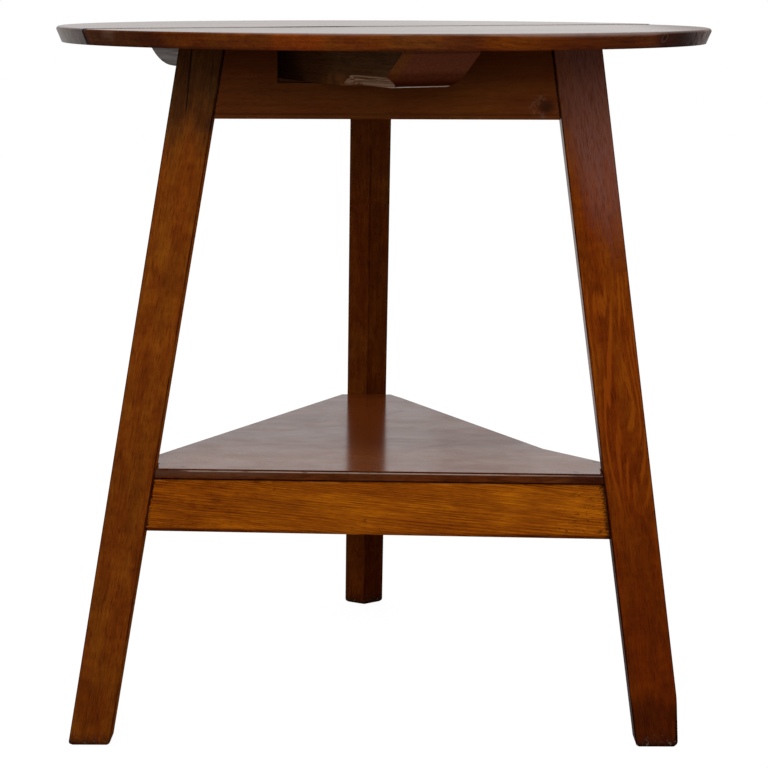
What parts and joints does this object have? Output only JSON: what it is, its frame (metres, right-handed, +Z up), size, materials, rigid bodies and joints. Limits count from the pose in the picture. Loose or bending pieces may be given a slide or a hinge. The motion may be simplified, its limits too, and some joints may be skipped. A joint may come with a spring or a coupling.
{
  "type": "cricket table",
  "caption": "Round country table on splayed legs joined by aprons and stretchers, with a batten under the top and a triangular shelf.",
  "frame": {"origin": "on the floor, under the middle of the table's bounding box", "axes": "+Z up; -Y is the table's front, the side with the widest apron facing out between two legs; the third leg is at the back, +Y; +X is to the right seen from the front"},
  "size_m": [0.6536, 0.677, 0.7],
  "materials": {
    "top_wood": "old red-brown polish, worn pale along the rim's upper arris",
    "leg_wood": "old waxed red-brown, warmer and more worn towards the floor",
    "apron_wood": "dark brown waxed",
    "stretcher_wood": "golden brown with strong grain, satin",
    "shelf_wood": "dark red-brown, glossy from wear",
    "batten_wood": "unpolished old wood, greyed",
    "old_steel": "dull brown iron"
  },
  "bodies": {
    "root": {"top_board_front": "top_wood", "top_board_back": "top_wood", "batten": "batten_wood", "leg_front_left": "leg_wood", "leg_front_right": "leg_wood", "leg_rear": "leg_wood", "apron_front": "apron_wood", "apron_left": "apron_wood", "apron_right": "apron_wood", "stretcher_front": "stretcher_wood", "stretcher_left": "stretcher_wood", "stretcher_right": "stretcher_wood", "shelf": "shelf_wood", "batten_screw_1": "old_steel", "batten_screw_2": "old_steel", "batten_screw_3": "old_steel", "batten_screw_4": "old_steel", "apron_screw_1": "old_steel", "apron_screw_2": "old_steel", "apron_screw_3": "old_steel", "apron_screw_4": "old_steel", "apron_screw_5": "old_steel", "apron_screw_6": "old_steel", "shelf_nail_1": "old_steel", "shelf_nail_2": "old_steel", "shelf_nail_3": "old_steel", "shelf_nail_4": "old_steel", "shelf_nail_5": "old_steel", "shelf_nail_6": "old_steel"}
  },
  "joints": []
}
